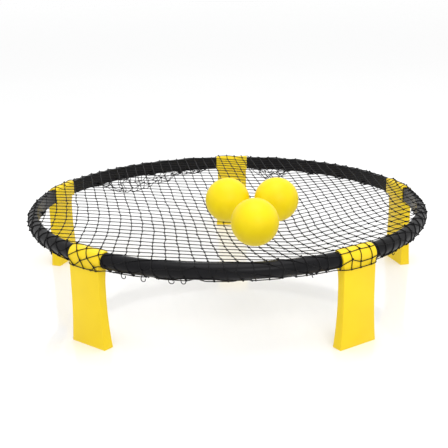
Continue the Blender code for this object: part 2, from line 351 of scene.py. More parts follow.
def pick(piece, kind, test):
    # selects in edit mode the verts, edges or faces that pass the test, and nothing else
    bpy.ops.mesh.select_mode(type={"verts": "VERT", "edges": "EDGE", "faces": "FACE"}[kind])
    bpy.ops.mesh.select_all(action="DESELECT")
    shape = bmesh.from_edit_mesh(piece.data)
    for part in getattr(shape, kind):
        if test(part):
            part.select_set(True)
    shape.select_flush_mode()
    bmesh.update_edit_mesh(piece.data)


def extrude(shift):
    bpy.ops.mesh.extrude_region_move(TRANSFORM_OT_translate={"value": shift})


def resize(value, centre):
    bpy.ops.transform.resize(value=value, center_override=centre)


def applyModifiers(piece):
    selectOnly(piece)
    for modifier in list(piece.modifiers):
        bpy.ops.object.modifier_apply(modifier=modifier.name)


def roundEdges(piece, width, segments, angle):
    bevel = piece.modifiers.new("roundedEdges", "BEVEL")
    bevel.width = width
    bevel.segments = segments
    bevel.angle_limit = math.radians(angle)
    bevel.use_clamp_overlap = True
    applyModifiers(piece)


def combine(piece, other, operation):
    boolean = piece.modifiers.new("combine", "BOOLEAN")
    boolean.operation = operation
    boolean.object = other
    applyModifiers(piece)
    bpy.data.objects.remove(other, do_unlink=True)


def joinInto(piece, others):
    selectOnly(piece)
    for other in others:
        other.select_set(True)
    bpy.ops.object.join()


def settle(piece, angle=40):
    # puts the piece's place and turn into its mesh, and shades it smooth up to that angle in degrees
    selectOnly(piece)
    bpy.ops.object.transform_apply(location=True, rotation=True, scale=True)
    bpy.ops.object.shade_smooth_by_angle(angle=math.radians(angle))


def copyTurned(piece, name, turn):
    # a copy with its own mesh, turned about the middle of the rim
    copy = piece.copy()
    copy.data = piece.data.copy()
    copy.name = name
    copy.data.name = name
    bpy.context.scene.collection.objects.link(copy)
    about = Matrix.Translation((rimMiddle.x, rimMiddle.y, 0.0))
    copy.data.transform(about @ Matrix.Rotation(turn, 4, "Z") @ about.inverted())
    return copy


def finishPiece(piece, material, body, slot, *nodes):
    piece.data.materials.clear()
    piece.data.materials.append(material)
    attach(piece, body)
    if nodes:
        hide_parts(*nodes)


leg = {
    "collarRadius": 0.0190,
    "collarHalf": 0.0425,
    "collarFlat": 0.0070,               # from the pivot line to the collar's flat inner side
    "bore": 0.0038,
    "boreSides": 32,
    "drill": 3.0,                       # length of the cut for the bore, in half collars
    "slotRadius": 0.0061,               # room in the bore for the hinge pin's lug
    "slotHalf": 0.0044,
    "slotFrom": math.radians(0.8),
    "slotTo": math.radians(146.2),
    "sides": 64,
    "panelHalf": 0.0400,
    "outer": 0.0188,                    # panel's outer face from the pivot line
    "inner": 0.0010,
    "top": -0.0010,
    "wall": 0.0034,
    "roof": 0.0300,                     # solid stretch above the hollow
    "flareHeight": 0.1150,
    "footSpread": 0.0057,
    "footOut": 0.0008,
    "footIn": 0.0045,
    "heelIn": 0.0080,                   # the panel thickens inwards towards the collar
    "heelDrop": 0.0500,
    "heelRows": 6,
    "flareRows": 9,
    "hollowRows": 9,
    "ribs": 2,
    "ribHalf": 0.0009,
    "ribUp": 0.0060,                    # ribs start this far above the floor
    "edge": 0.0014,
    "edgeRows": 3,
    "edgeAngle": 38,
}


def panelBox(height, inset):
    # half width, outer face and inner face of the panel at a height above the floor
    flare = max(0.0, (leg["flareHeight"] - height) / leg["flareHeight"]) ** 2
    half = leg["panelHalf"] + leg["footSpread"] * flare - inset
    outer = leg["outer"] + leg["footOut"] * flare - inset
    heel = max(0.0, 1 + (height - pivots[0].z) / leg["heelDrop"]) ** 2
    inner = leg["inner"] - leg["footIn"] * flare - leg["heelIn"] * heel + inset
    return half, outer, inner


def fitRow(piece, height, inset):
    # sizes the picked end face to the panel at that height
    half, outer, inner = panelBox(height, inset)
    shape = bmesh.from_edit_mesh(piece.data)
    verts = [v.co for v in shape.verts if v.select]
    wide = max(v.x for v in verts) - min(v.x for v in verts)
    lowY = min(v.y for v in verts)
    highY = max(v.y for v in verts)
    pivot = pivots[0]
    resize((2 * half / wide, (outer - inner) / (highY - lowY), 1.0), (pivot.x, (lowY + highY) / 2, 0.0))
    bpy.ops.transform.translate(value=(0.0, pivot.y + (outer + inner) / 2 - (lowY + highY) / 2, 0.0))


def addRod(radius, length, sides):
    # a rod along the first corner's pivot line
    deselect()
    bpy.ops.mesh.primitive_cylinder_add(
        vertices=sides, radius=radius, depth=length, location=pivots[0], rotation=(0.0, math.pi / 2, 0.0),
    )
    bpy.ops.object.transform_apply(location=True, rotation=True, scale=True)
    return bpy.context.object


def cutFlat(piece, point, normal):
    # keeps what lies on the normal's side of the plane, and closes the cut
    edit(piece)
    bpy.ops.mesh.select_all(action="SELECT")
    bpy.ops.mesh.bisect(plane_co=point, plane_no=normal, clear_inner=True, use_fill=True)
    deselect()


def makeCollar():
    collar = addRod(leg["collarRadius"], 2 * leg["collarHalf"], leg["sides"])
    cutFlat(collar, pivots[0] - Vector((0.0, leg["collarFlat"], 0.0)), (0.0, 1.0, 0.0))
    return collar


def makeSlot():
    # the part of a turn that the hinge pin's lug travels in
    slot = addRod(leg["slotRadius"], 2 * leg["slotHalf"], leg["boreSides"])
    start = leg["slotFrom"]
    end = leg["slotTo"]
    cutFlat(slot, pivots[0], (0.0, -math.sin(start), math.cos(start)))
    cutFlat(slot, pivots[0], (0.0, math.sin(end), -math.cos(end)))
    return slot


def makePanel():
    # a slab under the pivot line, drawn down row by row to the foot and then hollowed from below
    pivot = pivots[0]
    top = pivot.z + leg["top"]
    drop = top - leg["flareHeight"]
    heights = [top - drop * i / leg["heelRows"] for i in range(leg["heelRows"])]
    heights += [leg["flareHeight"] * (1 - i / leg["flareRows"]) for i in range(leg["flareRows"] + 1)]
    half, outer, inner = panelBox(heights[0], 0.0)
    deselect()
    bpy.ops.mesh.primitive_cube_add(size=1.0)
    panel = bpy.context.object
    panel.scale = (2 * half, outer - inner, heights[0] - heights[1])
    panel.location = (pivot.x, pivot.y + (outer + inner) / 2, (heights[0] + heights[1]) / 2)
    bpy.ops.object.transform_apply(location=True, rotation=True, scale=True)
    edit(panel)
    pick(panel, "faces", lambda f: f.normal.z < -0.9)
    fitRow(panel, heights[1], 0.0)
    for upper, lower in zip(heights[1:], heights[2:]):
        extrude((0.0, 0.0, lower - upper))
        fitRow(panel, lower, 0.0)
    bpy.ops.mesh.inset(thickness=leg["wall"])
    roof = pivot.z - leg["roof"]
    for row in range(leg["hollowRows"]):
        extrude((0.0, 0.0, roof / leg["hollowRows"]))
        fitRow(panel, roof * (row + 1) / leg["hollowRows"], leg["wall"])
    deselect()
    return panel


def makeRib(share):
    # a thin rib in the hollow, whose edges follow the outer and the inner wall
    pivot = pivots[0]
    outer, inner = panelBox(0.0, 0.0)[1:]
    top = pivot.z - leg["roof"] + leg["wall"] / 2
    tall = top - leg["ribUp"]
    deselect()
    bpy.ops.mesh.primitive_cube_add(size=1.0)
    rib = bpy.context.object
    rib.scale = (2 * leg["ribHalf"], outer - inner, tall)
    rib.location = (pivot.x + share * leg["panelHalf"], pivot.y + (outer + inner) / 2, top - tall / 2)
    bpy.ops.object.transform_apply(location=True, rotation=True, scale=True)
    edit(rib)
    for row in range(1, leg["hollowRows"]):
        bpy.ops.mesh.select_all(action="SELECT")
        height = leg["ribUp"] + tall * row / leg["hollowRows"]
        bpy.ops.mesh.bisect(plane_co=(0.0, 0.0, height), plane_no=(0.0, 0.0, 1.0))
    deselect()
    middle = pivot.y + (outer + inner) / 2
    for vert in rib.data.vertices:
        outer, inner = panelBox(vert.co.z, leg["wall"] / 2)[1:]
        vert.co.y = pivot.y + (outer if vert.co.y > middle else inner)
    return rib


def makeLegs():
    whole = makeCollar()
    combine(whole, makePanel(), "UNION")
    roundEdges(whole, leg["edge"], leg["edgeRows"], leg["edgeAngle"])
    bore = addRod(leg["bore"], leg["drill"] * leg["collarHalf"], leg["boreSides"])
    combine(whole, bore, "DIFFERENCE")
    combine(whole, makeSlot(), "DIFFERENCE")
    ribs = [makeRib((i + 1) / (leg["ribs"] + 1) * 2 - 1) for i in range(leg["ribs"])]
    joinInto(whole, ribs)
    settle(whole)
    for number in range(corners):
        piece = copyTurned(whole, f"folding_leg_moulding_{number + 1}", number * step)
        finishPiece(piece, materials["leg"], f"folding_leg_{number + 1}", "leg_plastic", f"leg_{number + 1}")
    bpy.data.objects.remove(whole, do_unlink=True)


makeLegs()
print("legs made")


rim = {
    "radius": 0.4395,                   # centre line of the tubes
    "tubeRadius": 0.0165,
    "tubeWall": 0.0030,
    "flat": 0.0042,                     # from the centre line to the flat that faces the middle
    "sides": 48,
    "steps": 56,
    "underCollar": 0.8,                 # how far a tube runs under a collar before it is cut, in half collars
    "weld": 0.00001,
    "onPlane": 0.00002,
    "endGap": 0.0004,                   # between a tube's end and the collar
    "grooveAt": 0.0040,                 # from the tube's end
    "grooveHalf": 0.0007,
    "grooveDepth": 0.0007,
    "endEdge": 0.0011,
    "hooks": 4,
    "hookMargin": math.radians(19),     # round the rim, from a leg's middle to the nearest hook
    "hookHalf": 0.0035,
    "hookRoot": -0.0036,                # reaches and heights are from the tube's centre line
    "hookNeck": -0.0082,
    "hookTip": -0.0106,
    "hookBottom": -0.0140,
    "hookTop": -0.0112,
    "hookLip": -0.0078,
    "hookEdge": 0.0006,
}


def cornerPlane(number, along):
    # point and normal of a plane across the rim, that far past a corner's middle
    turn = Matrix.Rotation(number * step, 3, "Z")
    normal = turn @ Vector((-1.0, 0.0, 0.0))
    return pivots[number % corners] + normal * along, normal


def makeTube():
    # the tube from the first corner to the second
    overrun = leg["collarHalf"] / rim["radius"] * rim["underCollar"]
    deselect()
    bpy.ops.mesh.primitive_circle_add(
        vertices=rim["sides"], radius=rim["tubeRadius"], fill_type="NOTHING",
        location=(rimMiddle.x + rim["radius"], rimMiddle.y, rimMiddle.z), rotation=(math.pi / 2, 0.0, 0.0),
    )
    tube = bpy.context.object
    bpy.ops.object.transform_apply(location=True, rotation=True, scale=True)
    flat = rimMiddle.x + rim["radius"] - rim["flat"]
    for vert in tube.data.vertices:
        vert.co.x = max(vert.co.x, flat)
    edit(tube)
    bpy.ops.mesh.select_all(action="SELECT")
    bpy.ops.mesh.spin(steps=rim["steps"], angle=step - 2 * overrun, center=rimMiddle, axis=(0.0, 0.0, 1.0))
    deselect()
    about = Matrix.Translation(rimMiddle)
    turned = Matrix.Rotation(math.pi / 2 + overrun, 4, "Z")
    angles = [math.atan2(v.co.y - rimMiddle.y, v.co.x - rimMiddle.x) for v in tube.data.vertices]
    if sum(angles) < 0:
        turned = Matrix.Rotation(math.pi / 2 + step - overrun, 4, "Z")
    tube.data.transform(about @ turned @ about.inverted())
    edit(tube)
    bpy.ops.mesh.select_all(action="SELECT")
    bpy.ops.mesh.remove_doubles(threshold=rim["weld"])
    bpy.ops.mesh.normals_make_consistent(inside=False)
    face = leg["collarHalf"] + rim["endGap"]
    groove = face + rim["grooveAt"]
    for number, side in ((0, 1), (1, -1)):
        for along in (face, groove - rim["grooveHalf"], groove, groove + rim["grooveHalf"]):
            point, normal = cornerPlane(number, side * along)
            bpy.ops.mesh.select_all(action="SELECT")
            bpy.ops.mesh.bisect(plane_co=point, plane_no=normal * side, clear_inner=along == face)
        middle, normal = cornerPlane(number, side * groove)
        pick(tube, "verts", lambda v: abs((v.co - middle).dot(normal)) < rim["onPlane"])
        shrink = 1 - rim["grooveDepth"] / rim["tubeRadius"]
        picked = [v.co for v in bmesh.from_edit_mesh(tube.data).verts if v.select]
        centre = sum(picked, Vector()) / len(picked)
        resize((shrink, shrink, shrink), centre)
    deselect()
    wall = tube.modifiers.new("wall", "SOLIDIFY")
    wall.thickness = rim["tubeWall"]
    wall.offset = -1.0
    applyModifiers(tube)
    roundEdges(tube, rim["endEdge"], 3, 60)
    return tube


def makeHook(angle):
    # a hook on the tube's flat, turned up at its tip, at an angle from +Y round the rim
    line = Vector((rimMiddle.x, rimMiddle.y + rim["radius"], rimMiddle.z))
    deselect()
    bpy.ops.mesh.primitive_cube_add(size=1.0)
    hook = bpy.context.object
    hook.scale = (2 * rim["hookHalf"], rim["hookRoot"] - rim["hookTip"], rim["hookTop"] - rim["hookBottom"])
    middle = ((rim["hookRoot"] + rim["hookTip"]) / 2, (rim["hookTop"] + rim["hookBottom"]) / 2)
    hook.location = line + Vector((0.0, *middle))
    bpy.ops.object.transform_apply(location=True, rotation=True, scale=True)
    edit(hook)
    bpy.ops.mesh.select_all(action="SELECT")
    neck = line.y + rim["hookNeck"]
    bpy.ops.mesh.bisect(plane_co=(0.0, neck, 0.0), plane_no=(0.0, 1.0, 0.0))
    pick(hook, "faces", lambda f: f.normal.z > 0.9 and f.calc_center_median().y < neck)
    extrude((0.0, 0.0, rim["hookLip"] - rim["hookTop"]))
    deselect()
    about = Matrix.Translation(rimMiddle)
    hook.data.transform(about @ Matrix.Rotation(angle, 4, "Z") @ about.inverted())
    roundEdges(hook, rim["hookEdge"], 2, 40)
    return hook


def hookAngles():
    # from +Y round the rim, for the hooks between the first corner and the second
    span = step - 2 * rim["hookMargin"]
    return [rim["hookMargin"] + span * i / (rim["hooks"] - 1) for i in range(rim["hooks"])]


def makeRim():
    tube = makeTube()
    hooks = [makeHook(angle) for angle in hookAngles()]
    joinInto(tube, hooks)
    settle(tube)
    for number in range(corners):
        piece = copyTurned(tube, f"rim_tube_moulding_{number + 1}", number * step)
        finishPiece(piece, materials["rim"], "rim", "rim_plastic", f"rim_tube_{number + 1}")
        spindle = frame["nodes"][f"spindle_{number + 1}"]
        spindle.data.materials.clear()
        spindle.data.materials.append(materials["spindle"])
    bpy.data.objects.remove(tube, do_unlink=True)


makeRim()
print("rim made")


ball = {
    "radius": 0.0478,
    "segments": 96,
    "rings": 64,
    "valveRadius": 0.0050,
    "valveDepth": 0.0016,
    "valveEdge": 0.0004,
}


def makeBalls():
    for number in (1, 2, 3):
        node = frame["nodes"][f"ball_valve_{number}"]
        low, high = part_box(f"ball_{number}")
        centre = (low + high) / 2
        verts = [v.co for v in node.data.vertices]
        valveOut = (sum(verts, Vector()) / len(verts) - centre).normalized()
        deselect()
        bpy.ops.mesh.primitive_uv_sphere_add(
            segments=ball["segments"], ring_count=ball["rings"], radius=ball["radius"],
        )
        piece = bpy.context.object
        piece.name = f"rubber_ball_{number}"
        edit(piece)
        seat = ball["radius"] - ball["valveDepth"]
        rimHeight = math.sqrt(ball["radius"] ** 2 - ball["valveRadius"] ** 2)
        pick(piece, "faces", lambda f: f.calc_center_median().z > rimHeight)
        bpy.ops.mesh.inset(thickness=ball["valveEdge"])
        extrude((0.0, 0.0, -ball["valveDepth"]))
        resize((1.0, 1.0, 0.0), (0.0, 0.0, seat))
        bpy.ops.object.mode_set(mode="OBJECT")
        turn = valveOut.to_track_quat("Z", "Y").to_matrix().to_4x4()
        piece.data.transform(Matrix.Translation(centre) @ turn)
        settle(piece, 50)
        finishPiece(piece, materials["ball"], f"loose_ball_{number}", "ball_rubber", f"ball_{number}")
        node.data.materials.clear()
        node.data.materials.append(materials["valve"])


makeBalls()
print("balls made")


net = {
    "cell": 0.0250,
    "reach": 23,                        # cells from the middle to the edge of the lattice
    "cordRadius": 0.00088,
    "sides": 6,
    "wrap": 0.0500,                     # how far the net goes past the rim's top, along its surface
    "top": 0.1990,
    "dip": 0.0105,
    "dipPlace": (0.055, -0.250),
    "dipSpread": 0.240,
    "bedRadius": 0.4238,
    "jitter": 0.0007,
    "edgeStep": 0.0040,
    "edgeRadius": 0.0010,
    "edgeLift": 0.0016,                 # the edge cord lies that far above the others
    "edgeRounding": 3,
    "seed": 7,
    "sweeps": 260,
    "speed": 1.85,
    # cord directions in degrees: the base, and what each region adds as it fades in between two places
    "across": {
        "base": -4.4,
        "right": 45.0, "rightFade": (0.09, 0.20),
        "far": -50.0, "farFade": (0.0, 0.30), "farSideFade": (0.0, 0.20),
    },
    "up": {
        "base": 7.0,
        "near": 31.0, "nearFade": (0.15, 0.40), "nearSideFade": (-0.05, 0.15),
        "far": 7.0, "farFade": (-0.25, 0.0), "farSideFade": (-0.10, 0.10),
        "lean": -7.0, "leanFade": (0.15, 0.32), "leanSideFade": (-0.15, 0.02),
    },
    "middle": (-0.030, 0.0),
    "hookWrap": 0.0156,                 # how much further the edge goes where a hook holds it
    "hookNear": 0.0040,
    "hookFar": 0.0200,
    "looseJitter": 3.0,                 # more play in the cells past the rim
    "knotRadius": 0.0014,
    "knotCord": 0.0008,
    "knotSunk": 0.0007,                 # knots of the bed hang that far under their cords, clear of the balls
    "knotTilts": (-28, 34),             # in degrees, one for each turn of cord in a knot
    "knotSides": (7, 4),
    "knotSpin": 0.5,
    "knotMargin": 0.001,                # no knot is nearer the edge than this
    "knotRise": 1.5,                    # in tube radii inside the rim, where knots start to stand proud
    "knotRest": 2.0,                    # the same, for where they stop hanging under the cords
    "edgeSides": 8,
    "edgeSearch": 20,
    "flatPieces": 2,                    # pieces of cord from knot to knot in the bed
    "bentPieces": 6,                    # and where the cord bends round the rim
    "bentFrom": 0.024,
    "collarFade": (0.001, 0.008),       # past a collar's end, where its shape gives way to the tube's
}
chance = random.Random(net["seed"])


def smooth(value, low, high):
    # 0 below low, 1 above high, and an eased rise between them
    share = min(1.0, max(0.0, (value - low) / (high - low)))
    return share * share * (3 - 2 * share)


def acrossAngle(u, v):
    field = net["across"]
    right = field["right"] * smooth(u, *field["rightFade"])
    far = field["far"] * smooth(v, *field["farFade"]) * smooth(u, *field["farSideFade"])
    return math.radians(field["base"] + right + far)


def upAngle(u, v):
    field = net["up"]
    near = field["near"] * smooth(-v, *field["nearFade"]) * smooth(u, *field["nearSideFade"])
    far = field["far"] * smooth(v, *field["farFade"]) * (1 - smooth(u, *field["farSideFade"]))
    lean = field["lean"] * smooth(-v, *field["leanFade"]) * (1 - smooth(u, *field["leanSideFade"]))
    return math.radians(field["base"] + near + far + lean)


def relaxLattice():
    # the knots in the net's own flat plane: each cell side pulls towards its direction and length
    reach = net["reach"]
    cell = net["cell"]
    keys = [(i, j) for i in range(-reach, reach + 1) for j in range(-reach, reach + 1)]
    across = {}
    up = {}
    for i, j in keys:
        angle = acrossAngle((i + 0.5) * cell, j * cell)
        across[i, j] = (cell * math.cos(angle), cell * math.sin(angle))
        angle = upAngle(i * cell, (j + 0.5) * cell)
        up[i, j] = (-cell * math.sin(angle), cell * math.cos(angle))
    knots = {(0, 0): net["middle"]}
    for i in range(1, reach + 1):
        x, y = knots[i - 1, 0]
        knots[i, 0] = (x + across[i - 1, 0][0], y + across[i - 1, 0][1])
        x, y = knots[1 - i, 0]
        knots[-i, 0] = (x - across[-i, 0][0], y - across[-i, 0][1])
    for i in range(-reach, reach + 1):
        for j in range(1, reach + 1):
            x, y = knots[i, j - 1]
            knots[i, j] = (x + up[i, j - 1][0], y + up[i, j - 1][1])
            x, y = knots[i, 1 - j]
            knots[i, -j] = (x - up[i, -j][0], y - up[i, -j][1])
    speed = net["speed"]
    for sweep in range(net["sweeps"]):
        for key in keys:
            if key == (0, 0):
                continue
            i, j = key
            sumX = sumY = count = 0.0
            if i > -reach:
                sumX += knots[i - 1, j][0] + across[i - 1, j][0]
                sumY += knots[i - 1, j][1] + across[i - 1, j][1]
                count += 1
            if i < reach:
                sumX += knots[i + 1, j][0] - across[i, j][0]
                sumY += knots[i + 1, j][1] - across[i, j][1]
                count += 1
            if j > -reach:
                sumX += knots[i, j - 1][0] + up[i, j - 1][0]
                sumY += knots[i, j - 1][1] + up[i, j - 1][1]
                count += 1
            if j < reach:
                sumX += knots[i, j + 1][0] - up[i, j][0]
                sumY += knots[i, j + 1][1] - up[i, j][1]
                count += 1
            x, y = knots[key]
            knots[key] = (x + speed * (sumX / count - x), y + speed * (sumY / count - y))
    for key, (x, y) in knots.items():
        loose = smooth(math.hypot(x, y), rim["radius"], rim["radius"] + net["cell"])
        jitter = net["jitter"] * (1 + net["looseJitter"] * loose)
        knots[key] = (x + chance.gauss(0.0, jitter), y + chance.gauss(0.0, jitter))
    return knots


def bedHeight(x, y):
    slack = 1 - (x * x + y * y) ** 2 / net["bedRadius"] ** 4
    away = (x - net["dipPlace"][0]) ** 2 + (y - net["dipPlace"][1]) ** 2
    return net["top"] - net["dip"] * slack * math.exp(-away / (2 * net["dipSpread"] ** 2))


def overTube(x, y, lift):
    # a point of the flat net, laid over the bed and round the tube
    away = math.hypot(x, y)
    radius = rim["tubeRadius"] + net["cordRadius"] + lift
    past = away - rim["radius"]
    lower = math.pi + math.asin(rim["flat"] / rim["tubeRadius"])      # from the top to the flat's lower edge
    if past > radius * lower:
        out = rim["radius"] - rim["flat"] - net["cordRadius"] - lift
        height = rimMiddle.z + radius * math.cos(lower) + past - radius * lower
    elif past > 0:
        angle = past / radius
        out = rim["radius"] + radius * math.sin(angle)
        height = rimMiddle.z + radius * math.cos(angle)
    else:
        out = away
        height = bedHeight(x, y) - net["cordRadius"]
        if past > -radius:
            height = max(height, rimMiddle.z + math.sqrt(radius * radius - past * past))
    return Vector((x * out / max(away, 0.001), y * out / max(away, 0.001), height))


def overCollar(x, y, turn, lift):
    # the same over a collar, whose line is straight, and then down the leg's outer face
    radius = leg["collarRadius"] + net["cordRadius"] + lift
    ahead = -x * math.sin(turn) + y * math.cos(turn)
    side = x * math.cos(turn) + y * math.sin(turn)
    past = ahead - pivotRadius
    if past > radius * math.pi / 2:
        out = radius
        height = rimMiddle.z - (past - radius * math.pi / 2)
    elif past > 0:
        out = radius * math.sin(past / radius)
        height = rimMiddle.z + radius * math.cos(past / radius)
    else:
        out = past
        height = bedHeight(x, y) - net["cordRadius"]
        if past > -radius:
            height = max(height, rimMiddle.z + math.sqrt(radius * radius - past * past))
    ahead = pivotRadius + out
    x = side * math.cos(turn) - ahead * math.sin(turn)
    y = side * math.sin(turn) + ahead * math.cos(turn)
    return Vector((x, y, height))


hookTurns = [math.pi / 2 + number * step + angle for number in range(corners) for angle in hookAngles()]


def besideHook(x, y):
    # how far round the rim a point is from the nearest hook, positive when it is past it
    turn = math.atan2(y, x)
    away = min(((turn - hook + math.pi) % math.tau - math.pi for hook in hookTurns), key=abs)
    return away * rim["radius"]


def edgeLimit(x, y):
    # the net's edge, which is drawn further round the tube at each hook
    held = 1 - smooth(abs(besideHook(x, y)), net["hookNear"], net["hookFar"])
    return rim["radius"] + net["wrap"] + net["hookWrap"] * held


def clearOfHook(x, y):
    # moves a point of a cord's end round the rim to the side of a hook
    away = besideHook(x, y)
    room = rim["hookHalf"] + 2 * net["cordRadius"]
    if abs(away) >= room:
        return x, y
    share = smooth(math.hypot(x, y) - rim["radius"], net["wrap"] - room, net["wrap"])
    turn = math.copysign(room - abs(away), away) * share / rim["radius"]
    return x * math.cos(turn) - y * math.sin(turn), x * math.sin(turn) + y * math.cos(turn)


def layNet(x, y, lift=0.0):
    # takes a point of the flat net to its place in the set
    place = overTube(x, y, lift)
    for number in range(corners):
        turn = number * step
        side = x * math.cos(turn) + y * math.sin(turn)
        ahead = -x * math.sin(turn) + y * math.cos(turn)
        near, far = (leg["collarHalf"] + past for past in net["collarFade"])
        if ahead > 0 and abs(side) < far:
            share = smooth(abs(side), near, far)
            place = overCollar(x, y, turn, lift).lerp(place, share)
    return place + Vector((rimMiddle.x, rimMiddle.y, 0.0))


class CordMesh:
    # gathers tubes that follow points into one mesh, with a UV map along and round each tube
    def __init__(self):
        self.verts = []
        self.faces = []
        self.uvs = []

    def add(self, points, radius, sides, closed=False):
        count = len(points)
        first = len(self.verts)
        side = None
        along = 0.0
        lengths = []
        for i, point in enumerate(points):
            before = points[i - 1] if i or closed else points[0]
            after = points[(i + 1) % count] if i < count - 1 or closed else points[-1]
            ahead = (after - before).normalized()
            if side is None:
                side = ahead.cross(Vector((0.3, 0.2, 0.93)))     # a direction that no cord starts along
            side = (side - ahead * side.dot(ahead)).normalized()
            other = ahead.cross(side)
            if i:
                along += (point - points[i - 1]).length
            lengths.append(along)
            for k in range(sides):
                angle = math.tau * k / sides
                self.verts.append(point + (side * math.cos(angle) + other * math.sin(angle)) * radius)
        spans = count if closed else count - 1
        for i in range(spans):
            a = first + i * sides
            b = first + (i + 1) % count * sides
            near = lengths[i]
            far = lengths[i + 1] if i + 1 < count else along + (points[0] - points[-1]).length
            for k in range(sides):
                k2 = (k + 1) % sides
                self.faces.append((a + k, a + k2, b + k2, b + k))
                low = k / sides
                high = (k + 1) / sides
                self.uvs += [(near, low), (near, high), (far, high), (far, low)]
        if not closed:
            last = first + (count - 1) * sides
            self.faces.append(tuple(first + k for k in reversed(range(sides))))
            self.uvs += [(0.0, 0.0)] * sides
            self.faces.append(tuple(last + k for k in range(sides)))
            self.uvs += [(along, 0.0)] * sides

    def addShape(self, shape, matrix):
        first = len(self.verts)
        verts, faces, uvs = shape
        self.verts += [matrix @ v for v in verts]
        self.faces += [tuple(first + i for i in face) for face in faces]
        self.uvs += uvs

    def make(self, name):
        mesh = bpy.data.meshes.new(name)
        mesh.from_pydata(self.verts, [], self.faces)
        layer = mesh.uv_layers.new(name="cord")
        layer.data.foreach_set("uv", [x for uv in self.uvs for x in uv])
        mesh.shade_smooth()
        piece = bpy.data.objects.new(name, mesh)
        bpy.context.scene.collection.objects.link(piece)
        print(name, len(mesh.vertices), "verts", sum(len(f) - 2 for f in self.faces), "triangles")
        return piece


def makeKnotShape():
    # two tight turns round the crossing cords
    rings = []
    major, minor = net["knotSides"]
    for tilt in net["knotTilts"]:
        deselect()
        bpy.ops.mesh.primitive_torus_add(
            major_segments=major, minor_segments=minor,
            major_radius=net["knotRadius"], minor_radius=net["knotCord"],
            rotation=(math.radians(90 + tilt), 0.0, math.radians(tilt)),
        )
        rings.append(bpy.context.object)
    knot = rings[0]
    joinInto(knot, rings[1:])
    settle(knot)
    verts = [v.co.copy() for v in knot.data.vertices]
    faces = [tuple(f.vertices) for f in knot.data.polygons]
    uvs = [(0.0, 0.0) for f in faces for _ in f]
    bpy.data.objects.remove(knot, do_unlink=True)
    return verts, faces, uvs


def between(start, end, share):
    return start[0] + (end[0] - start[0]) * share, start[1] + (end[1] - start[1]) * share


def edgeShare(start, end):
    # how far along a cord the edge of the net is
    low, high = 0.0, 1.0
    for _ in range(net["edgeSearch"]):
        middle = (low + high) / 2
        x, y = between(start, end, middle)
        if math.hypot(x, y) < edgeLimit(x, y):
            low = middle
        else:
            high = middle
    return low


def knotLift(x, y):
    # a knot is thicker than its cords, so round the rim and the collars it stands on the surface
    proud = net["knotRadius"] + net["knotCord"] - net["cordRadius"]
    start = rim["radius"] - net["knotRise"] * rim["tubeRadius"]
    return proud * smooth(math.hypot(x, y), start, rim["radius"] - rim["flat"])


def rounded(points):
    # a closed run of points, eased where it turns sharply
    for _ in range(net["edgeRounding"]):
        around = zip(points[-1:] + points[:-1], points, points[1:] + points[:1])
        points = [before / 4 + here / 2 + after / 4 for before, here, after in around]
    return points


